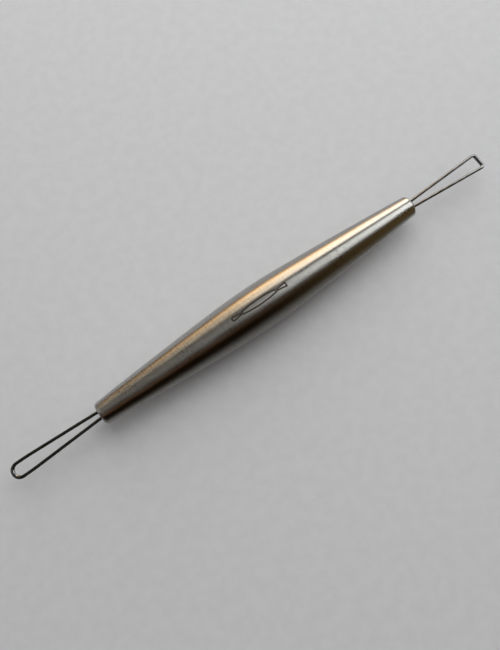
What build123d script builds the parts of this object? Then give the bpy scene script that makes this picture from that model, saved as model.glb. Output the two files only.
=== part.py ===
"""A double-ended wire loop tool for trimming and hollowing clay.

A solid bar, turned to a long spindle, has a blind socket drilled in each end. A bent spring wire stands in
each socket, held by cured resin: a rounded loop at the -X end and a squared loop at the +X end.

Frame: X runs along the tool towards the squared loop, both loops lie flat in the XY direction, and Z is up.
The origin is under the middle of the tool's whole length, on the surface that the handle lies on.
All sizes are in millimetres.
"""

from build123d import *
import math
import os

# Handle
HANDLE_LENGTH = 122.0
WIDEST_RADIUS = 7.5
WIDEST_OFFSET = -1.4
BELLY_ARC_RADIUS = 210.0
BELLY_ARC_HALF_ANGLE = 3.35
FLANK_ARC_RADIUS = 1790.0
RIM_ROUNDING = 1.3

# Sockets, drilled to a cone, with a broken edge at the mouth
SOCKET_RADIUS = 1.75
SOCKET_DEPTH = 14.0
SOCKET_CONE_LENGTH = 1.0
MOUTH_CHAMFER = 0.15

# Loop wire, and how far it goes into the resin
WIRE_DIAMETER = 1.05
LEG_DEPTH = 13.0
MOUTH_BEND_RADIUS = 8.0
RESIN_RECESS = 0.35

# Rounded loop: reach is from the handle's end face to the outside of the tip
ROUND_REACH = 31.5
ROUND_MOUTH_HALF_GAP = 1.09
ROUND_TIP_HALF_GAP = 2.30
ROUND_LEG_BOW_RADIUS = 100.0
ROUND_LEG_BOW_AT = 25.2
ROUND_TIP_WIDTH = 1.25
ROUND_TIP_THICKNESS = 0.80
ROUND_LEAN = -0.21

# Squared loop
SQUARE_REACH = 29.7
SQUARE_MOUTH_HALF_GAP = 1.02
SQUARE_BAR_HALF_GAP = 2.65
SQUARE_BEND_RADII = (1.1, 0.85)
SQUARE_BAR_WIDTH = 1.35
SQUARE_BAR_THICKNESS = 0.75
SQUARE_LEAN = -0.50

BEND_STATIONS = 8

HANDLE_END = HANDLE_LENGTH / 2
ORIGIN_SHIFT = Pos((ROUND_REACH - SQUARE_REACH) / 2, 0, WIDEST_RADIUS)


def handle_radius(x):
    """The handle's radius at a distance x from its middle, before the rims are rounded."""
    along = abs(x - WIDEST_OFFSET)
    turn = math.radians(BELLY_ARC_HALF_ANGLE)
    belly_end = BELLY_ARC_RADIUS * math.sin(turn)
    if along <= belly_end:
        return WIDEST_RADIUS - BELLY_ARC_RADIUS + math.sqrt(BELLY_ARC_RADIUS**2 - along**2)
    belly_drop = BELLY_ARC_RADIUS * (1 - math.cos(turn))
    centre_x = belly_end - FLANK_ARC_RADIUS * math.sin(turn)
    centre_z = WIDEST_RADIUS - belly_drop - FLANK_ARC_RADIUS * math.cos(turn)
    return centre_z + math.sqrt(FLANK_ARC_RADIUS**2 - (along - centre_x) ** 2)


def outline_arc(x_start, x_end):
    """One arc of the handle's outline."""
    points = [(x, handle_radius(x)) for x in (x_start, (x_start + x_end) / 2, x_end)]
    return ThreePointArc(*points)


def socket(end, depth):
    """The space of a drilled socket in the +X (end = 1) or -X (end = -1) face, down from the given depth."""
    outline = Polyline(
        (HANDLE_END - depth, 0),
        (HANDLE_END - depth, SOCKET_RADIUS),
        (HANDLE_END - SOCKET_DEPTH, SOCKET_RADIUS),
        (HANDLE_END - SOCKET_DEPTH - SOCKET_CONE_LENGTH, 0),
        close=True,
    )
    space = revolve(make_face(outline), Axis.X)
    return space if end > 0 else mirror(space, about=Plane.YZ)


def make_handle():
    """The turned bar, with rounded rims and a socket in each end."""
    belly_half = BELLY_ARC_RADIUS * math.sin(math.radians(BELLY_ARC_HALF_ANGLE))
    belly_from = WIDEST_OFFSET - belly_half
    belly_to = WIDEST_OFFSET + belly_half
    outline = [
        Line((-HANDLE_END, 0), (-HANDLE_END, handle_radius(-HANDLE_END))),
        outline_arc(-HANDLE_END, belly_from),
        outline_arc(belly_from, belly_to),
        outline_arc(belly_to, HANDLE_END),
        Line((HANDLE_END, handle_radius(HANDLE_END)), (HANDLE_END, 0)),
        Line((HANDLE_END, 0), (-HANDLE_END, 0)),
    ]
    bar = revolve(make_face(Curve() + outline), Axis.X)
    for end in (-1, 1):
        rims = bar.edges().filter_by(GeomType.CIRCLE).sort_by(Axis.X)
        bar = fillet(rims[0] if end < 0 else rims[-1], RIM_ROUNDING)
    for end in (-1, 1):
        bar -= socket(end, 0)
        mouths = bar.edges().filter_by(GeomType.CIRCLE).filter_by_position(
            Axis.X, end * HANDLE_END - 0.01, end * HANDLE_END + 0.01
        )
        bar = chamfer(mouths.sort_by(SortBy.RADIUS)[0], MOUTH_CHAMFER)
    return bar


def oval(path, distance, width, thickness):
    """A wire section across the path: width is measured in the loop's plane, thickness along Z."""
    plane = Plane(
        origin=path.position_at(distance, position_mode=PositionMode.LENGTH),
        x_dir=path.tangent_at(distance, position_mode=PositionMode.LENGTH).cross(Vector(0, 0, 1)),
        z_dir=path.tangent_at(distance, position_mode=PositionMode.LENGTH),
    )
    return plane * Ellipse(width / 2, thickness / 2)


def swept_leg(edges):
    """A round leg along its lines and arcs, starting at the leg's end in the socket."""
    leg = Wire(edges)
    section = Plane(origin=leg.position_at(0), z_dir=leg.tangent_at(0)) * Circle(WIRE_DIAMETER / 2)
    return sweep(section, path=leg)


def flattened_bend(edges, stations, width, thickness):
    """The loop's tip: round where it meets the legs, and hammered flat between.

    Stations are pairs of a distance along the tip and how flat the wire is there, from 0 to 1.
    """
    path = Wire(edges)
    sections = [
        oval(
            path,
            distance,
            WIRE_DIAMETER + flatness * (width - WIRE_DIAMETER),
            WIRE_DIAMETER + flatness * (thickness - WIRE_DIAMETER),
        )
        for distance, flatness in stations
    ]
    return loft(sections)


def ease(share):
    """A smooth step from 0 to 1."""
    return share * share * (3 - 2 * share)


def leg_edges(points, radii):
    """A leg's lines, joined by tangent arcs."""
    return FilletPolyline(*points, radius=radii).edges()


def make_round_loop():
    """The hairpin at the -X end, drawn towards +X and then mirrored."""
    tip_x = HANDLE_END + ROUND_REACH - ROUND_TIP_WIDTH / 2
    bend_x = tip_x - ROUND_TIP_HALF_GAP
    bow_share = ROUND_LEG_BOW_AT / (bend_x - HANDLE_END)
    legs = []
    for side in (1, -1):
        points = [
            (HANDLE_END - LEG_DEPTH, side * ROUND_MOUTH_HALF_GAP),
            (HANDLE_END, side * ROUND_MOUTH_HALF_GAP),
            (HANDLE_END + ROUND_LEG_BOW_AT, side * ROUND_TIP_HALF_GAP + bow_share * ROUND_LEAN),
            (bend_x, side * ROUND_TIP_HALF_GAP + ROUND_LEAN),
        ]
        legs.append(swept_leg(leg_edges(points, (MOUTH_BEND_RADIUS, ROUND_LEG_BOW_RADIUS))))
    tip = ThreePointArc(
        (bend_x, ROUND_TIP_HALF_GAP + ROUND_LEAN),
        (tip_x, ROUND_LEAN),
        (bend_x, -ROUND_TIP_HALF_GAP + ROUND_LEAN),
    )
    stations = []
    for i in range(BEND_STATIONS * 2 + 1):
        share = i / (BEND_STATIONS * 2)
        stations.append((share * tip.length, ease(min(1, 2 * min(share, 1 - share) * 1.5))))
    bend = flattened_bend(tip.edges(), stations, ROUND_TIP_WIDTH, ROUND_TIP_THICKNESS)
    return mirror(legs[0] + bend + legs[1], about=Plane.YZ)


def make_square_loop():
    """The trapezium at the +X end."""
    bar_x = HANDLE_END + SQUARE_REACH - SQUARE_BAR_WIDTH / 2
    corners = [(bar_x, side * SQUARE_BAR_HALF_GAP + SQUARE_LEAN) for side in (1, -1)]
    points = [
        (HANDLE_END - LEG_DEPTH, SQUARE_MOUTH_HALF_GAP),
        (HANDLE_END, SQUARE_MOUTH_HALF_GAP),
        *corners,
        (HANDLE_END, -SQUARE_MOUTH_HALF_GAP),
        (HANDLE_END - LEG_DEPTH, -SQUARE_MOUTH_HALF_GAP),
    ]
    radii = (MOUTH_BEND_RADIUS, *SQUARE_BEND_RADII, MOUTH_BEND_RADIUS)
    edges = leg_edges(points, radii)
    first_leg, bar, last_leg = edges[:3], edges[3:6], edges[6:]
    lengths = [edge.length for edge in bar]
    stations = []
    for i in range(BEND_STATIONS + 1):
        stations.append((lengths[0] * i / BEND_STATIONS, ease(i / BEND_STATIONS)))
    for i in range(1, BEND_STATIONS):
        stations.append((lengths[0] + lengths[1] * i / BEND_STATIONS, 1))
    for i in range(BEND_STATIONS + 1):
        distance = lengths[0] + lengths[1] + lengths[2] * i / BEND_STATIONS
        stations.append((distance, ease(1 - i / BEND_STATIONS)))
    bend = flattened_bend(bar, stations, SQUARE_BAR_WIDTH, SQUARE_BAR_THICKNESS)
    return swept_leg(first_leg) + bend + swept_leg(last_leg)


def make_resin(end, loop):
    """Cured resin that fills a socket around the loop's legs, a little short of the mouth."""
    return socket(end, RESIN_RECESS) - loop


def main():
    round_loop = make_round_loop()
    square_loop = make_square_loop()
    parts = {
        "handle": make_handle(),
        "round_loop": round_loop,
        "square_loop": square_loop,
        "round_end_resin": make_resin(-1, round_loop),
        "square_end_resin": make_resin(1, square_loop),
    }
    os.makedirs("parts", exist_ok=True)
    for name, shape in parts.items():
        export_step(ORIGIN_SHIFT * shape, f"parts/{name}.step")


main()
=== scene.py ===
"""Looks for the double-ended wire loop tool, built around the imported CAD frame. All sizes are in metres."""

import math

import bmesh
import bpy
from mathutils import Matrix, Vector


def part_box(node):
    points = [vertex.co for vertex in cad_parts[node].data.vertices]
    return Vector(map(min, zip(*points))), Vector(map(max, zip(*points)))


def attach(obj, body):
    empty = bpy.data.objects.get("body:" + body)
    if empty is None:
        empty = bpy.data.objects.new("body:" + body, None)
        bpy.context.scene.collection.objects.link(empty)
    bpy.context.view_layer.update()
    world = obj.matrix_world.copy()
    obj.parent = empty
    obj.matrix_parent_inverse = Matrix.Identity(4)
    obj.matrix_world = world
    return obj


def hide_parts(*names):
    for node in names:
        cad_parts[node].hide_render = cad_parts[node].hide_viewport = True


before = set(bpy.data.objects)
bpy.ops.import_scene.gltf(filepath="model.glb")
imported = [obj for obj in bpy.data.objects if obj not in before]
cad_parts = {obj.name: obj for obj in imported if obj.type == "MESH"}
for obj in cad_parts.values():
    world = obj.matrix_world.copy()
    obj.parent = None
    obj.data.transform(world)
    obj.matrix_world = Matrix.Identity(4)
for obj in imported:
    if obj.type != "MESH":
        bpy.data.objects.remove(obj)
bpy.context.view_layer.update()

MM = 0.001

# The handle's shape, as the CAD model has it
WIDEST_RADIUS = 7.5 * MM
WIDEST_OFFSET = -1.4 * MM
BELLY_ARC_RADIUS = 210 * MM
BELLY_ARC_HALF_ANGLE = math.radians(3.35)
FLANK_ARC_RADIUS = 1790 * MM
RIM_ROUNDING = 1.3 * MM
SOCKET_RADIUS = 1.75 * MM
SOCKET_DEPTH = 14 * MM
SOCKET_CONE_LENGTH = 1 * MM
MOUTH_CHAMFER = 0.15 * MM

# The wires and the resin, as the CAD model has them
WIRE_RADIUS = 0.525 * MM
LEG_DEPTH = 13 * MM
MOUTH_BEND_RADIUS = 8 * MM
RESIN_RECESS = 0.35 * MM
ROUND_MOUTH_HALF_GAP = 1.09 * MM
ROUND_TIP_HALF_GAP = 2.30 * MM
ROUND_LEG_BOW_RADIUS = 100 * MM
ROUND_LEG_BOW_AT = 25.2 * MM
ROUND_TIP_WIDTH = 1.25 * MM
ROUND_TIP_THICKNESS = 0.80 * MM
ROUND_LEAN = -0.21 * MM
SQUARE_MOUTH_HALF_GAP = 1.02 * MM
SQUARE_BAR_HALF_GAP = 2.65 * MM
SQUARE_BEND_RADII = (1.1 * MM, 0.85 * MM)
SQUARE_BAR_WIDTH = 1.35 * MM
SQUARE_BAR_THICKNESS = 0.75 * MM
SQUARE_LEAN = -0.50 * MM

# Both tips are hammered with their inner edge a little lower
TIP_BEVEL = math.radians(13)

# How finely the pieces are meshed
HANDLE_SEGMENTS = 256
HANDLE_RINGS = 170
RIM_RINGS = 18
WIRE_SEGMENTS = 32
ROUND_BEND_STEP = 0.4 * MM
ROUND_RUN_STEP = 1 * MM
ROUND_TIP_STEPS = 48
SQUARE_BEND_STEP = 0.12 * MM
SQUARE_RUN_STEP = 0.8 * MM
RESIN_SEGMENTS = 72
RESIN_FACE_RINGS = 20

# Places from the frame
handle_low, handle_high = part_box("handle")
HANDLE_END = (handle_high.x - handle_low.x) / 2
MIDDLE = Vector(((handle_low.x + handle_high.x) / 2, 0, WIDEST_RADIUS))
ROUND_REACH = handle_low.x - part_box("round_loop")[0].x
SQUARE_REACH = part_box("square_loop")[1].x - handle_high.x


# ---------------------------------------------------------------- mesh helpers


def new_object(name, mesh_maker, smooth=True):
    """An object from a bmesh that mesh_maker fills."""
    bm = bmesh.new()
    mesh_maker(bm)
    bmesh.ops.recalc_face_normals(bm, faces=bm.faces)
    mesh = bpy.data.meshes.new(name)
    bm.to_mesh(mesh)
    bm.free()
    for face in mesh.polygons:
        face.use_smooth = smooth
    piece = bpy.data.objects.new(name, mesh)
    bpy.context.scene.collection.objects.link(piece)
    return piece


def around_axis(x, radius, turn):
    """A point at a distance x from the handle's middle, turned round its axis from straight up."""
    return MIDDLE + Vector((x, radius * math.sin(turn), radius * math.cos(turn)))


def skin(bm, rings):
    """Faces between rings of vertices. A ring of one vertex closes an end to a point."""
    segments = max(len(ring) for ring in rings)
    for near, far in zip(rings, rings[1:]):
        for i in range(segments):
            j = (i + 1) % segments
            corners = [near[i % len(near)], far[i % len(far)], far[j % len(far)], near[j % len(near)]]
            bm.faces.new(dict.fromkeys(corners))


def lathe(bm, outline, segments):
    """Turns an outline of (x, radius) points round the tool's axis. A point at radius 0 is one vertex."""
    rings = []
    for x, radius in outline:
        count = segments if radius > 0 else 1
        rings.append([bm.verts.new(around_axis(x, radius, 2 * math.pi * i / count)) for i in range(count)])
    skin(bm, rings)


# ---------------------------------------------------------------- handle


def handle_radius(x):
    """The handle's radius at a distance x from its middle, before the rims are rounded."""
    along = abs(x - WIDEST_OFFSET)
    belly_end = BELLY_ARC_RADIUS * math.sin(BELLY_ARC_HALF_ANGLE)
    if along <= belly_end:
        return WIDEST_RADIUS - BELLY_ARC_RADIUS + math.sqrt(BELLY_ARC_RADIUS**2 - along**2)
    belly_drop = BELLY_ARC_RADIUS * (1 - math.cos(BELLY_ARC_HALF_ANGLE))
    centre_x = belly_end - FLANK_ARC_RADIUS * math.sin(BELLY_ARC_HALF_ANGLE)
    centre_r = WIDEST_RADIUS - belly_drop - FLANK_ARC_RADIUS * math.cos(BELLY_ARC_HALF_ANGLE)
    return centre_r + math.sqrt(FLANK_ARC_RADIUS**2 - (along - centre_x) ** 2)


def end_outline(end):
    """One end of the handle's outline, from the socket's bottom out to the start of the flank."""
    bottom = HANDLE_END - SOCKET_DEPTH
    outline = [
        (bottom - SOCKET_CONE_LENGTH, 0),
        (bottom, SOCKET_RADIUS),
        (HANDLE_END - MOUTH_CHAMFER, SOCKET_RADIUS),
        (HANDLE_END - MOUTH_CHAMFER * 0.3, SOCKET_RADIUS + MOUTH_CHAMFER * 0.7),
        (HANDLE_END, SOCKET_RADIUS + MOUTH_CHAMFER),
    ]
    centre_x = HANDLE_END - RIM_ROUNDING
    slope = (handle_radius(end * HANDLE_END) - handle_radius(end * centre_x)) / RIM_ROUNDING
    tilt = math.atan(slope)
    centre_r = handle_radius(end * centre_x) - RIM_ROUNDING / math.cos(tilt)
    for i in range(RIM_RINGS + 1):
        turn = (math.pi / 2 + tilt) * i / RIM_RINGS
        outline.append((centre_x + RIM_ROUNDING * math.cos(turn), centre_r + RIM_ROUNDING * math.sin(turn)))
    return outline


def handle_outline():
    """The whole outline, from the bottom of the -X socket to the bottom of the +X one."""
    left = [(-x, radius) for x, radius in end_outline(-1)]
    right = end_outline(1)
    start, stop = left[-1][0], right[-1][0]
    flank = []
    for i in range(1, HANDLE_RINGS):
        x = start + (stop - start) * i / HANDLE_RINGS
        flank.append((x, handle_radius(x)))
    return left + flank + list(reversed(right))


handle = new_object("turned_handle", lambda bm: lathe(bm, handle_outline(), HANDLE_SEGMENTS))
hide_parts("handle")
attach(handle, "root")


# ---------------------------------------------------------------- wires


def rounded_route(corners, radii, step):
    """Points along straight runs joined by tangent arcs."""
    points = [Vector((*corners[0], 0))]
    for i in range(1, len(corners) - 1):
        here = Vector((*corners[i], 0))
        back = (Vector((*corners[i - 1], 0)) - here).normalized()
        ahead = (Vector((*corners[i + 1], 0)) - here).normalized()
        half = back.angle(ahead) / 2
        centre = here + (back + ahead).normalized() * radii[i - 1] / math.sin(half)
        first = here + back * radii[i - 1] / math.tan(half)
        last = here + ahead * radii[i - 1] / math.tan(half)
        bend = math.pi - 2 * half
        bend_steps = max(2, math.ceil(bend * radii[i - 1] / step))
        turn = math.copysign(bend, (first - centre).cross(last - centre).z)
        for j in range(bend_steps + 1):
            points.append(centre + Matrix.Rotation(turn * j / bend_steps, 3, "Z") @ (first - centre))
    points.append(Vector((*corners[-1], 0)))
    return points


def divide(route, step):
    """The route with its long straight runs cut up."""
    points = [route[0]]
    for a, b in zip(route, route[1:]):
        count = max(1, math.ceil((b - a).length / step))
        for i in range(1, count + 1):
            points.append(a.lerp(b, i / count))
    return points


def ease(share):
    """A smooth step from 0 to 1."""
    share = max(0, min(1, share))
    return share * share * (3 - 2 * share)


def round_loop_route():
    """The rounded loop's centre line, drawn towards +X, and how flat the wire is along it."""
    bend_x = HANDLE_END + ROUND_REACH - ROUND_TIP_WIDTH / 2 - ROUND_TIP_HALF_GAP
    bow_share = ROUND_LEG_BOW_AT / (bend_x - HANDLE_END)

    def leg(side):
        corners = [
            (HANDLE_END - LEG_DEPTH, side * ROUND_MOUTH_HALF_GAP),
            (HANDLE_END, side * ROUND_MOUTH_HALF_GAP),
            (HANDLE_END + ROUND_LEG_BOW_AT, side * ROUND_TIP_HALF_GAP + bow_share * ROUND_LEAN),
            (bend_x, side * ROUND_TIP_HALF_GAP + ROUND_LEAN),
        ]
        radii = (MOUTH_BEND_RADIUS, ROUND_LEG_BOW_RADIUS)
        return divide(rounded_route(corners, radii, ROUND_BEND_STEP), ROUND_RUN_STEP)

    centre = Vector((bend_x, ROUND_LEAN, 0))
    tip = []
    for i in range(1, ROUND_TIP_STEPS):
        turn = math.pi / 2 - math.pi * i / ROUND_TIP_STEPS
        tip.append(centre + ROUND_TIP_HALF_GAP * Vector((math.cos(turn), math.sin(turn), 0)))
    route = leg(1) + tip + list(reversed(leg(-1)))
    flatness = []
    for point in route:
        off_tip = math.atan2(abs(point.y - ROUND_LEAN), max(point.x - bend_x, 0))
        flatness.append(ease(1.5 * (1 - off_tip / (math.pi / 2))))
    return route, flatness


def square_loop_route():
    """The squared loop's centre line, and how flat the wire is along it."""
    bar_x = HANDLE_END + SQUARE_REACH - SQUARE_BAR_WIDTH / 2
    corners = [
        (HANDLE_END - LEG_DEPTH, SQUARE_MOUTH_HALF_GAP),
        (HANDLE_END, SQUARE_MOUTH_HALF_GAP),
        (bar_x, SQUARE_BAR_HALF_GAP + SQUARE_LEAN),
        (bar_x, -SQUARE_BAR_HALF_GAP + SQUARE_LEAN),
        (HANDLE_END, -SQUARE_MOUTH_HALF_GAP),
        (HANDLE_END - LEG_DEPTH, -SQUARE_MOUTH_HALF_GAP),
    ]
    radii = (MOUTH_BEND_RADIUS, *SQUARE_BEND_RADII, MOUTH_BEND_RADIUS)
    route = divide(rounded_route(corners, radii, SQUARE_BEND_STEP), SQUARE_RUN_STEP)
    flatness = [ease(1 - (bar_x - point.x) / SQUARE_BEND_RADII[1]) for point in route]
    return route, flatness


def sweep_wire(bm, route, flatness, width, thickness, towards):
    """A wire along a route, round on the legs and hammered flat where flatness says.

    The grain layer holds each vertex's place on the round wire and its distance along it, for the material.
    """
    grain = bm.verts.layers.float_vector.new("grain")
    rings = []
    travelled = 0
    for i, point in enumerate(route):
        before = route[max(0, i - 1)]
        after = route[min(len(route) - 1, i + 1)]
        along = (after - before).normalized()
        bevel = Matrix.Rotation(flatness[i] * TIP_BEVEL, 3, along)
        across = bevel @ along.cross(Vector((0, 0, 1)))
        upward = bevel @ Vector((0, 0, 1))
        half_width = WIRE_RADIUS + flatness[i] * (width / 2 - WIRE_RADIUS)
        half_thickness = WIRE_RADIUS + flatness[i] * (thickness / 2 - WIRE_RADIUS)
        if i:
            travelled += (point - before).length
        ring = []
        for j in range(WIRE_SEGMENTS):
            turn = 2 * math.pi * j / WIRE_SEGMENTS
            place = point + across * half_width * math.cos(turn) + upward * half_thickness * math.sin(turn)
            vertex = bm.verts.new(MIDDLE + Vector((towards * place.x, place.y, place.z)))
            vertex[grain] = (WIRE_RADIUS * math.cos(turn), WIRE_RADIUS * math.sin(turn), travelled)
            ring.append(vertex)
        rings.append(ring)
    skin(bm, rings)
    bm.faces.new(rings[0])
    bm.faces.new(rings[-1])


def make_wire(name, cad_node, route, flatness, width, thickness, towards):
    wire = new_object(name, lambda bm: sweep_wire(bm, route, flatness, width, thickness, towards))
    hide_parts(cad_node)
    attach(wire, "root")
    return wire


round_loop = make_wire(
    "round_loop_wire", "round_loop", *round_loop_route(), ROUND_TIP_WIDTH, ROUND_TIP_THICKNESS, -1
)
square_loop = make_wire(
    "square_loop_wire", "square_loop", *square_loop_route(), SQUARE_BAR_WIDTH, SQUARE_BAR_THICKNESS, 1
)


# ---------------------------------------------------------------- resin


MENISCUS_HEIGHT = 0.22 * MM
MENISCUS_REACH = 0.22 * MM
FACE_BELOW_RECESS = 0.132 * MM
FACE_RING_CROWDING = 0.8


def resin_plug(bm, end, mouth_half_gap):
    """The resin in one socket. Its open face climbs a little up the socket's wall and the wire's legs."""
    bottom = HANDLE_END - SOCKET_DEPTH
    face_x = HANDLE_END - RESIN_RECESS - FACE_BELOW_RECESS
    rings = [[bm.verts.new(around_axis(end * (bottom - SOCKET_CONE_LENGTH), 0, 0))]]
    ring = []
    for i in range(RESIN_SEGMENTS):
        ring.append(bm.verts.new(around_axis(end * bottom, SOCKET_RADIUS, 2 * math.pi * i / RESIN_SEGMENTS)))
    rings.append(ring)
    for step in range(RESIN_FACE_RINGS):
        radius = SOCKET_RADIUS * (1 - step / RESIN_FACE_RINGS) ** FACE_RING_CROWDING
        at_wall = math.exp(-(SOCKET_RADIUS - radius) / MENISCUS_REACH)
        ring = []
        for i in range(RESIN_SEGMENTS):
            turn = 2 * math.pi * i / RESIN_SEGMENTS
            y, z = radius * math.sin(turn), radius * math.cos(turn)
            to_leg = max(0, min(math.hypot(y - side * mouth_half_gap, z) for side in (1, -1)) - WIRE_RADIUS)
            climb = MENISCUS_HEIGHT * (at_wall + math.exp(-to_leg / MENISCUS_REACH))
            ring.append(bm.verts.new(around_axis(end * (face_x + climb), radius, turn)))
        rings.append(ring)
    rings.append([bm.verts.new(around_axis(end * face_x, 0, 0))])
    skin(bm, rings)


def make_resin(name, cad_node, end, mouth_half_gap):
    plug = new_object(name, lambda bm: resin_plug(bm, end, mouth_half_gap))
    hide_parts(cad_node)
    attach(plug, "root")
    return plug


round_end_plug = make_resin("round_end_resin_plug", "round_end_resin", -1, ROUND_MOUTH_HALF_GAP)
square_end_plug = make_resin("square_end_resin_plug", "square_end_resin", 1, SQUARE_MOUTH_HALF_GAP)


# ---------------------------------------------------------------- etched mark


MARK_STROKE = 0.52 * MM
MARK_PROUD = 0.012 * MM
MARK_SUNK = 0.03 * MM
MARK_AT = -1.0 * MM
MARK_TURN = math.radians(-2.5)
MARK_HANDLE_HALF_LENGTH = 6.3 * MM
MARK_HANDLE_HALF_WIDTH = 0.95 * MM
MARK_END_HALF_WIDTH = 0.42 * MM
MARK_LOOP_START = 6.872 * MM
MARK_LOOP_REACH = 10.2 * MM
MARK_MOUTH_HALF_GAP = 0.21 * MM
MARK_ROUND_HALF_GAP = 0.588 * MM
MARK_SQUARE_HALF_GAP = 0.672 * MM
MARK_SPINDLE_STEPS = 16
MARK_BEND_STEPS = 8
MARK_LINE_STEP = 0.3 * MM
SHARPEST_MITRE = 0.5


def mark_lines():
    """A pictogram of the tool itself, as closed lines of (x, sideways) points on the handle's top."""
    upper = []
    for i in range(MARK_SPINDLE_STEPS + 1):
        share = 2 * i / MARK_SPINDLE_STEPS - 1
        swell = (MARK_HANDLE_HALF_WIDTH - MARK_END_HALF_WIDTH) * (1 - share * share)
        upper.append((MARK_HANDLE_HALF_LENGTH * share, MARK_END_HALF_WIDTH + swell))
    spindle = upper + [(x, -sideways) for x, sideways in reversed(upper)]
    bend_x = MARK_LOOP_REACH - MARK_ROUND_HALF_GAP
    hairpin = [(-MARK_LOOP_START, MARK_MOUTH_HALF_GAP)]
    for i in range(MARK_BEND_STEPS + 1):
        turn = math.pi / 2 + math.pi * i / MARK_BEND_STEPS
        hairpin.append((MARK_ROUND_HALF_GAP * math.cos(turn) - bend_x, MARK_ROUND_HALF_GAP * math.sin(turn)))
    hairpin.append((-MARK_LOOP_START, -MARK_MOUTH_HALF_GAP))
    square = [
        (MARK_LOOP_START, -MARK_MOUTH_HALF_GAP),
        (MARK_LOOP_REACH, -MARK_SQUARE_HALF_GAP),
        (MARK_LOOP_REACH, MARK_SQUARE_HALF_GAP),
        (MARK_LOOP_START, MARK_MOUTH_HALF_GAP),
    ]
    return [spindle, hairpin, square]


def etched_line(bm, line):
    """A thin closed band that follows the handle's surface along a closed line."""
    corners = []
    for a, b in zip(line, line[1:] + line[:1]):
        a, b = Vector((*a, 0)), Vector((*b, 0))
        count = max(1, math.ceil((b - a).length / MARK_LINE_STEP))
        corners += [a.lerp(b, i / count) for i in range(count)]
    rings = []
    for i, here in enumerate(corners):
        back = (here - corners[i - 1]).normalized()
        ahead = (corners[(i + 1) % len(corners)] - here).normalized()
        across = (back + ahead).normalized().cross(Vector((0, 0, 1)))
        across *= MARK_STROKE / 2 / max(SHARPEST_MITRE, across.dot(ahead.cross(Vector((0, 0, 1)))))
        ring = []
        for edge, lift in ((-1, -MARK_SUNK), (-1, MARK_PROUD), (1, MARK_PROUD), (1, -MARK_SUNK)):
            place = here + across * edge
            x = MARK_AT + place.x
            radius = handle_radius(x)
            ring.append(bm.verts.new(around_axis(x, radius + lift, MARK_TURN + place.y / radius)))
        rings.append(ring)
    skin(bm, rings + [rings[0]])


def etched_mark(bm):
    for line in mark_lines():
        etched_line(bm, line)


mark = new_object("etched_mark", etched_mark, smooth=False)
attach(mark, "root")


# ---------------------------------------------------------------- materials


SURROUND = (0.97, 0.985, 1.0)
SURROUND_GLOW = 0.5
FAR_TABLE_GLOW = 0.43
GLOW_STARTS_AT = 0.25
GLOW_FULL_AT = 1.6


def new_material(name):
    material = bpy.data.materials.new(name)
    material.use_nodes = True
    return material, material.node_tree, material.node_tree.nodes["Principled BSDF"]


def node(tree, kind, inputs=(), **settings):
    """A node with its settings and inputs. An input that is a socket is linked."""
    made = tree.nodes.new("ShaderNode" + kind)
    for key, value in settings.items():
        setattr(made, key, value)
    for key, value in dict(inputs).items():
        if isinstance(value, bpy.types.NodeSocket):
            tree.links.new(value, made.inputs[key])
        else:
            made.inputs[key].default_value = value
    return made


def stretched_noise(tree, source, scale, detail=2.0, roughness=0.5):
    """Noise over a vector, with a scale for each direction, in features per metre."""
    scaled = node(tree, "VectorMath", {0: source, 1: scale}, operation="MULTIPLY")
    inputs = {"Vector": scaled.outputs[0], "Scale": 1.0, "Detail": detail, "Roughness": roughness}
    return node(tree, "TexNoise", inputs).outputs["Fac"]


def remap(tree, value, low, high, to_low, to_high):
    """value from low..high to to_low..to_high, smoothly."""
    inputs = {"Value": value, "From Min": low, "From Max": high, "To Min": to_low, "To Max": to_high}
    return node(tree, "MapRange", inputs, interpolation_type="SMOOTHSTEP").outputs["Result"]


def math_node(tree, operation, a, b):
    return node(tree, "Math", {0: a, 1: b}, operation=operation).outputs[0]


def weighted(tree, a, weight_a, b, weight_b):
    """The sum of two values, each times its weight."""
    return math_node(
        tree, "ADD", math_node(tree, "MULTIPLY", a, weight_a), math_node(tree, "MULTIPLY", b, weight_b)
    )


def mix_colour(tree, factor, a, b):
    """A mix of two colours, each with its alpha. A factor or colour that is a socket is linked."""
    made = tree.nodes.new("ShaderNodeMix")
    made.data_type = "RGBA"
    for socket, value in ((made.inputs[0], factor), (made.inputs[6], a), (made.inputs[7], b)):
        if isinstance(value, bpy.types.NodeSocket):
            tree.links.new(value, socket)
        else:
            socket.default_value = value
    return made.outputs[2]


def paint(tree, shader, tone, span, dark, pale):
    """The shader's colour goes from dark to pale as tone goes over its span."""
    colour = mix_colour(tree, remap(tree, tone, *span, 0, 1), (*dark, 1), (*pale, 1))
    tree.links.new(colour, shader.inputs["Base Color"])


def emboss(tree, shader, height, strength, distance):
    """Bump on the shader's normal."""
    bump = node(tree, "Bump", {"Strength": strength, "Distance": distance, "Height": height})
    tree.links.new(bump.outputs["Normal"], shader.inputs["Normal"])


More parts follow.
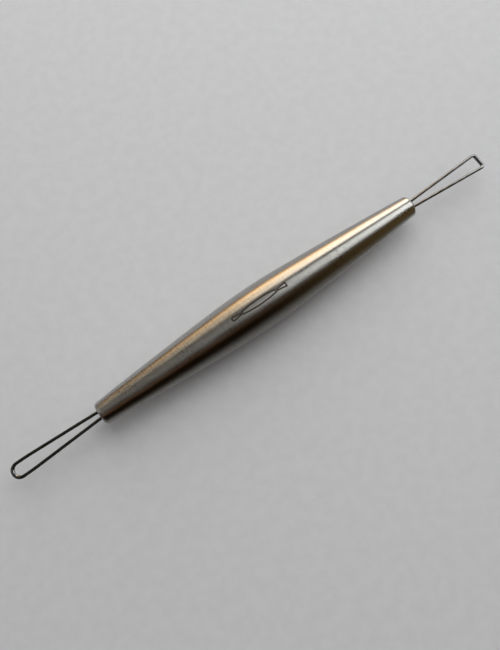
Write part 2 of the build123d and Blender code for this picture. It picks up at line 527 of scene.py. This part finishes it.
def handle_steel():
    """Satin stainless steel, brushed round the handle on a lathe."""
    material, tree, shader = new_material("handle_brushed_steel")
    place = node(tree, "TexCoord").outputs["Object"]
    fine = stretched_noise(tree, place, (26000, 700, 700), detail=3)
    broad = stretched_noise(tree, place, (4200, 260, 260), detail=3)
    speckle = stretched_noise(tree, place, (2400, 2000, 2000), detail=2)
    smear = stretched_noise(tree, place, (90, 160, 160), detail=4)
    lines = weighted(tree, fine, 0.55, broad, 0.45)
    grain = weighted(tree, lines, 0.6, speckle, 0.4)
    paint(tree, shader, grain, (0.35, 0.65), (0.34, 0.332, 0.320), (0.455, 0.445, 0.431))
    satin = remap(tree, grain, 0.3, 0.7, 0.27, 0.34)
    handling = remap(tree, smear, 0.35, 0.7, -0.015, 0.02)
    tree.links.new(math_node(tree, "ADD", satin, handling), shader.inputs["Roughness"])
    emboss(tree, shader, weighted(tree, fine, 0.8, broad, 0.2), 1.0, 0.018 * MM)
    shader.inputs["Metallic"].default_value = 1
    shader.inputs["Anisotropic"].default_value = 0.8
    shader.inputs["Anisotropic Rotation"].default_value = 0.25
    tangent = node(tree, "Tangent", direction_type="RADIAL", axis="X")
    tree.links.new(tangent.outputs["Tangent"], shader.inputs["Tangent"])
    return material


def wire_steel():
    """Bright spring wire with the fine lengthwise lines that drawing leaves."""
    material, tree, shader = new_material("drawn_spring_wire")
    place = node(tree, "Attribute", attribute_name="grain").outputs["Vector"]
    lines = stretched_noise(tree, place, (9000, 9000, 300), detail=3)
    blotches = stretched_noise(tree, place, (900, 900, 500), detail=3)
    tone = weighted(tree, lines, 0.6, blotches, 0.4)
    paint(tree, shader, tone, (0.35, 0.65), (0.138, 0.141, 0.146), (0.225, 0.229, 0.236))
    tree.links.new(remap(tree, tone, 0.3, 0.7, 0.14, 0.23), shader.inputs["Roughness"])
    emboss(tree, shader, tone, 0.3, 0.01 * MM)
    shader.inputs["Metallic"].default_value = 1
    return material


def cured_resin():
    """Dark amber resin with a glossy skin and a few cloudy patches."""
    material, tree, shader = new_material("cured_amber_resin")
    place = node(tree, "TexCoord").outputs["Object"]
    cloud = stretched_noise(tree, place, (1800, 1800, 1800), detail=4)
    paint(tree, shader, cloud, (0.35, 0.7), (0.060, 0.034, 0.012), (0.17, 0.115, 0.050))
    tree.links.new(remap(tree, cloud, 0.3, 0.7, 0.12, 0.3), shader.inputs["Roughness"])
    emboss(tree, shader, cloud, 0.25, 0.03 * MM)
    shader.inputs["Coat Weight"].default_value = 0.4
    return material


def etched_steel():
    """Steel darkened by a laser: nearly black oxide, rough, a little uneven."""
    material, tree, shader = new_material("laser_darkened_steel")
    place = node(tree, "TexCoord").outputs["Object"]
    mottle = stretched_noise(tree, place, (6000, 6000, 6000), detail=3)
    paint(tree, shader, mottle, (0.35, 0.65), (0.020, 0.015, 0.012), (0.085, 0.068, 0.058))
    tree.links.new(remap(tree, mottle, 0.3, 0.7, 0.5, 0.7), shader.inputs["Roughness"])
    emboss(tree, shader, mottle, 0.3, 0.01 * MM)
    shader.inputs["Metallic"].default_value = 0.6
    return material


def table_top():
    """A pale table with a very slight mottle. Far out, where the lamps don't reach, it glows a little."""
    material, tree, shader = new_material("pale_table")
    place = node(tree, "TexCoord").outputs["Object"]
    mottle = stretched_noise(tree, place, (260, 260, 260), detail=4)
    paint(tree, shader, mottle, (0.3, 0.7), (0.72, 0.725, 0.73), (0.75, 0.755, 0.76))
    shader.inputs["Roughness"].default_value = 0.75
    shader.inputs["Specular IOR Level"].default_value = 0.2
    distance = node(tree, "VectorMath", {0: place}, operation="LENGTH").outputs["Value"]
    glow_out = remap(tree, distance, GLOW_STARTS_AT, GLOW_FULL_AT, 0, FAR_TABLE_GLOW)
    tree.links.new(glow_out, shader.inputs["Emission Strength"])
    shader.inputs["Emission Color"].default_value = (*SURROUND, 1)
    material.cycles.emission_sampling = "NONE"
    return material


handle.data.materials.append(handle_steel())
mark.data.materials.append(etched_steel())
wire_material = wire_steel()
round_loop.data.materials.append(wire_material)
square_loop.data.materials.append(wire_material)
resin_material = cured_resin()
round_end_plug.data.materials.append(resin_material)
square_end_plug.data.materials.append(resin_material)


# ---------------------------------------------------------------- floor and backdrop


FLOOR_HALF = 2.5
DOME_RADIUS = 3.25


def floor_sheet(bm):
    corners = [(-1, -1), (1, -1), (1, 1), (-1, 1)]
    bm.faces.new([bm.verts.new((x * FLOOR_HALF, y * FLOOR_HALF, 0)) for x, y in corners])


floor = new_object("floor", floor_sheet, smooth=False)
floor.data.materials.append(table_top())


def glow(name, colour, radiance):
    """A material that only glows."""
    material, tree, _ = new_material(name)
    tree.nodes.clear()
    emission = node(tree, "Emission", {"Color": (*colour, 1), "Strength": radiance})
    node(tree, "OutputMaterial", {"Surface": emission.outputs[0]})
    material.cycles.emission_sampling = "NONE"
    return material, tree, emission


def backdrop_dome():
    """A pale surround that only the camera sees, so that low views don't end in the dark room."""
    dome = new_object(
        "backdrop", lambda bm: bmesh.ops.create_icosphere(bm, subdivisions=4, radius=DOME_RADIUS)
    )
    dome.data.materials.append(glow("pale_surround", SURROUND, SURROUND_GLOW)[0])
    dome.visible_diffuse = False
    dome.visible_glossy = False
    dome.visible_transmission = False
    dome.visible_shadow = False


backdrop_dome()


# ---------------------------------------------------------------- lights


PANEL_DISTANCE = 0.9
PANEL_STEPS = 12
PALE_TURN = 0.5

GOLD = (1.0, 0.56, 0.21)
STRAW = (1.0, 0.82, 0.56)
COOL = (0.97, 1.0, 0.98)
WHITE = (1.0, 0.97, 0.91)
TAWNY = (1.0, 0.87, 0.64)
BROWN = (1.0, 0.47, 0.22)
OLIVE = (1.0, 0.70, 0.31)
LAMP = (0.98, 0.99, 1.0)
FILL = (0.96, 0.98, 1.0)


def outward(tip, lean):
    """The direction that leans from straight up towards +X, and tips round the tool from up towards +Y."""
    tip, lean = math.radians(tip), math.radians(lean)
    return Vector((math.sin(lean), math.cos(lean) * math.sin(tip), math.cos(lean) * math.cos(tip)))


def lerp(pair, share):
    """A value that goes from the pair's first to its second as share goes from 0 to 1."""
    return pair[0] + (pair[1] - pair[0]) * share


def curved_sheet(bm, tips, far_tips, leans):
    """A patch of a sphere round the tool. The span layer runs from -1 to 1 each way.

    It spans tips at the first lean and far_tips at the last one.
    """
    span = bm.verts.layers.float_vector.new("span")
    grid = []
    for i in range(PANEL_STEPS + 1):
        along = i / PANEL_STEPS
        edges = (lerp((tips[0], far_tips[0]), along), lerp((tips[1], far_tips[1]), along))
        row = []
        for j in range(PANEL_STEPS + 1):
            across = j / PANEL_STEPS
            direction = outward(lerp(edges, across), lerp(leans, along))
            vertex = bm.verts.new(MIDDLE + direction * PANEL_DISTANCE)
            vertex[span] = (2 * along - 1, 2 * across - 1, 0)
            row.append(vertex)
        grid.append(row)
    for near, far in zip(grid, grid[1:]):
        for j in range(PANEL_STEPS):
            bm.faces.new((near[j], far[j], far[j + 1], near[j + 1]))


def softbox(name, tips, leans, colours, radiance, fade_along, fade_across, far_tips=None, pale_from=1):
    """A glowing curved panel that only reflections show.

    It spans the angles tips across the tool, or far_tips at its last lean, and the angles leans along it, all
    in degrees. colours are at its two tips, and the fades say what share of it dims towards each edge. From
    the share pale_from of its span along the tool, it turns to white.
    """
    box = new_object(name, lambda bm: curved_sheet(bm, tips, far_tips or tips, leans))
    material, tree, emission = glow(name + "_glow", colours[0], radiance)
    span = node(tree, "Attribute", attribute_name="span").outputs["Vector"]
    place = node(tree, "SeparateXYZ", {0: span})
    strength = radiance
    for axis, fades in (("X", fade_along), ("Y", fade_across)):
        for low, high in ((-1, -1 + 2 * fades[0]), (1, 1 - 2 * fades[1])):
            fade = remap(tree, place.outputs[axis], low, high, 0, 1)
            strength = math_node(tree, "MULTIPLY", fade, strength)
    tree.links.new(strength, emission.inputs["Strength"])
    across = remap(tree, place.outputs["Y"], -1, 1, 0, 1)
    colour = mix_colour(tree, across, *((*colour, 1) for colour in colours))
    pale = remap(tree, place.outputs["X"], 2 * pale_from - 1, 2 * pale_from - PALE_TURN, 0, 1)
    tree.links.new(mix_colour(tree, pale, colour, (*WHITE, 1)), emission.inputs["Color"])
    box.data.materials.append(material)
    box.visible_camera = False
    box.visible_diffuse = False
    box.visible_shadow = False


def key_light(name, tip, lean, distance, size, colour, radiance):
    """A broad lamp for the table and for soft shadows. It doesn't show in reflections."""
    data = bpy.data.lights.new(name, "AREA")
    data.shape = "SQUARE"
    data.size = size
    data.color = colour
    data.energy = radiance * math.pi * size * size
    light = bpy.data.objects.new(name, data)
    light.location = MIDDLE + outward(tip, lean) * distance
    light.rotation_mode = "QUATERNION"
    light.rotation_quaternion = (-outward(tip, lean)).to_track_quat("-Z", "Y")
    bpy.context.scene.collection.objects.link(light)
    light.visible_camera = False
    light.visible_glossy = False


softbox(
    "window_panel",
    tips=(32, 94),
    far_tips=(36.5, 95),
    leans=(-8, 62),
    colours=(STRAW, GOLD),
    radiance=4.9,
    fade_along=(0.38, 0.3),
    fade_across=(0.10, 0.52),
    pale_from=0.42,
)
softbox(
    "ceiling_panel",
    tips=(-10, 26),
    far_tips=(-60, 46),
    leans=(31, 62),
    colours=(COOL, COOL),
    radiance=4.8,
    fade_along=(0.12, 0.2),
    fade_across=(0.06, 0.35),
)
softbox(
    "room_ceiling",
    tips=(-24, 60),
    leans=(-32, 24),
    colours=(TAWNY, TAWNY),
    radiance=0.128,
    fade_along=(0.3, 0.3),
    fade_across=(0.12, 0.2),
)
softbox(
    "left_glow",
    tips=(-64, -31),
    leans=(-60, -17),
    colours=(BROWN, BROWN),
    radiance=0.5,
    fade_along=(0.2, 0.15),
    fade_across=(0.2, 0.35),
)
softbox(
    "right_glow",
    tips=(-112, -34),
    leans=(8, 62),
    colours=(OLIVE, OLIVE),
    radiance=0.22,
    fade_along=(0.9, 0.1),
    fade_across=(0.1, 0.15),
)
softbox(
    "far_panel",
    tips=(-20, 95),
    leans=(-78, -29),
    colours=(WHITE, WHITE),
    radiance=0.72,
    fade_along=(0.5, 0.32),
    fade_across=(0.3, 0.3),
)
key_light("key", tip=38, lean=28, distance=0.75, size=1.2, colour=LAMP, radiance=1.82)
key_light("fill", tip=-25, lean=-15, distance=1.2, size=1.6, colour=FILL, radiance=0.36)


CARD_HALF_LENGTH = 160 * MM
CARD_HEIGHT = 20 * MM
CARD_AWAY = 12 * MM
CARD_DROP = 0.058
CARD_FOOT_TOP = 5.5 * MM
CARD_DARK_FROM = 14.5 * MM
CARD_TURN_STARTS = -10 * MM
CARD_TURN_ENDS = 90 * MM


def shade_card():
    """A card beside the tool that only reflections show. It shades the near flank, as things on a table do.

    It is grey at its foot. Above, it goes from nearly black to olive towards +X. Both levels fall towards the
    card's ends, as the handle does.
    """

    def sheet(bm):
        left, right = MIDDLE.x - CARD_HALF_LENGTH, MIDDLE.x + CARD_HALF_LENGTH
        corners = ((left, 0), (right, 0), (right, CARD_HEIGHT), (left, CARD_HEIGHT))
        bm.faces.new([bm.verts.new((x, -CARD_AWAY, z)) for x, z in corners])

    card = new_object("shade_card", sheet, smooth=False)
    material, tree, emission = glow("shade_card_face", (1, 1, 1), 1)
    place = node(tree, "SeparateXYZ", {0: node(tree, "TexCoord").outputs["Object"]})
    along = math_node(tree, "SUBTRACT", place.outputs["X"], MIDDLE.x)
    drop = math_node(tree, "MULTIPLY", math_node(tree, "ABSOLUTE", along, 0), CARD_DROP)
    level = math_node(tree, "ADD", place.outputs["Z"], drop)
    to_right = remap(tree, along, CARD_TURN_STARTS, CARD_TURN_ENDS, 0, 1)
    dark = mix_colour(tree, to_right, (0.010, 0.005, 0.0015, 1), (0.16, 0.105, 0.04, 1))
    foot = mix_colour(tree, to_right, (0.23, 0.225, 0.21, 1), (0.15, 0.135, 0.11, 1))
    share = remap(tree, level, CARD_FOOT_TOP, CARD_DARK_FROM, 0, 1)
    tree.links.new(mix_colour(tree, share, foot, dark), emission.inputs["Color"])
    card.data.materials.append(material)
    card.visible_camera = False
    card.visible_diffuse = False
    card.visible_shadow = False


shade_card()

DARK_ROOM = (0.022, 0.010, 0.004, 1)

world = bpy.data.worlds.new("room")
world.use_nodes = True
world.node_tree.nodes["Background"].inputs["Color"].default_value = DARK_ROOM
bpy.context.scene.world = world


# ---------------------------------------------------------------- camera


VIEW_TARGET = MIDDLE + Vector((-6.5, -3.15, 0)) * MM
VIEW_AZIMUTH = math.radians(54.83)
VIEW_ELEVATION = math.radians(74.5)
VIEW_DISTANCE = 245.4 * MM
VIEW_LENS = 42.65

camera_data = bpy.data.cameras.new("camera")
camera_data.sensor_width = 36
camera_data.lens = VIEW_LENS
camera_data.clip_start = 0.01
camera_data.clip_end = 20
camera = bpy.data.objects.new("camera", camera_data)
forward = Vector(
    (
        math.cos(VIEW_AZIMUTH) * math.cos(VIEW_ELEVATION),
        math.sin(VIEW_AZIMUTH) * math.cos(VIEW_ELEVATION),
        -math.sin(VIEW_ELEVATION),
    )
)
camera.location = VIEW_TARGET - forward * VIEW_DISTANCE
camera.rotation_mode = "QUATERNION"
camera.rotation_quaternion = forward.to_track_quat("-Z", "Y")
bpy.context.scene.collection.objects.link(camera)
bpy.context.scene.camera = camera
bpy.context.scene.view_settings.view_transform = "Standard"
